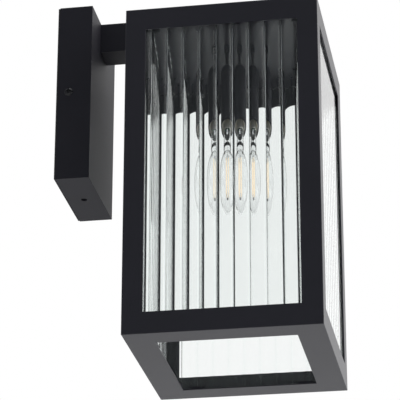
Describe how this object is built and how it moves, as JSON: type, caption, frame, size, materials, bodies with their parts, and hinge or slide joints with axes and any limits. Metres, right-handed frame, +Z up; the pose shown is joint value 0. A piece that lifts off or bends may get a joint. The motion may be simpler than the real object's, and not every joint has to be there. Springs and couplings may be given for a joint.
{
  "type": "outdoor wall lantern",
  "caption": "Black rectangular wall lantern with fluted glass sides and an open bottom, hung on a square arm from a shallow backplate.",
  "frame": {"origin": "middle of the wall bracket's wire hole, on the wall's surface", "axes": "+X along the wall, +Y into the wall, +Z up; the lantern stands out towards -Y"},
  "size_m": [0.16, 0.213, 0.294],
  "materials": {
    "black_metal": "black powder coat, fine texture, satin",
    "fluted_glass": "clear fluted glass with a faint green tint",
    "zinc_steel": "zinc-plated steel",
    "green_screw": "green passivated steel",
    "brass": "bright brass",
    "foam": "closed-cell foam",
    "ceramic_body": "grey-brown glazed ceramic",
    "black_insulation": "smooth insulation",
    "white_insulation": "smooth insulation",
    "green_insulation": "smooth insulation",
    "connector_plastic": "moulded plastic",
    "solder": "dull solder",
    "black_glass": "black glass",
    "bulb_aluminium": "rolled aluminium",
    "circuit_board": "circuit board",
    "clear_glass": "clear blown glass",
    "phosphor": "yellow phosphor coat",
    "lead_wire": "nickel wire"
  },
  "bodies": {
    "fixture": {"wall_bracket": "zinc_steel", "bracket_ears": "zinc_steel", "ground_screw": "green_screw", "ground_terminal": "brass", "gasket": "foam", "backplate": "black_metal", "side_screws": "black_metal", "arm_block": "zinc_steel", "arm_screws": "zinc_steel", "arm_tube": "black_metal", "arm_cap": "black_metal", "arm_nut": "zinc_steel", "stem": "black_metal", "stem_terminal": "brass", "roof_pan": "black_metal", "roof_washer": "black_metal", "roof_nut": "black_metal", "post_back_left": "black_metal", "post_back_right": "black_metal", "post_front_left": "black_metal", "post_front_right": "black_metal", "bottom_ring": "black_metal", "glass_left": "fluted_glass", "glass_right": "fluted_glass", "glass_back": "fluted_glass", "glass_front": "fluted_glass", "roof_tabs": "black_metal", "ring_tabs": "black_metal", "holder_cup": "black_metal", "holder_body": "ceramic_body", "holder_shell": "brass", "holder_contact": "brass", "wire_live": "black_insulation", "wire_neutral": "white_insulation", "wire_ground": "green_insulation", "wire_connectors": "connector_plastic"},
    "bulb_seat": {"bulb_contact": "solder"},
    "bulb": {"bulb_insulator": "black_glass", "bulb_base": "bulb_aluminium", "bulb_driver": "circuit_board", "bulb_glass": "clear_glass", "bulb_stem": "clear_glass", "bulb_filaments": "phosphor", "bulb_leads": "lead_wire"}
  },
  "joints": [
    {"name": "bulb_travel", "type": "slide", "parent": "fixture", "child": "bulb_seat", "axis": [0, 0, -1], "range_m": [0, 0.01452]},
    {"name": "bulb_turn", "type": "hinge", "parent": "bulb_seat", "child": "bulb", "pos_m": [0, -0.138, -0.0013], "axis": [0, 0, -1], "range_deg": [0, 1441]}
  ],
  "couplings": [
    {"joint": "bulb_turn", "follows": "bulb_travel", "rad_per_m": 1731.4}
  ]
}
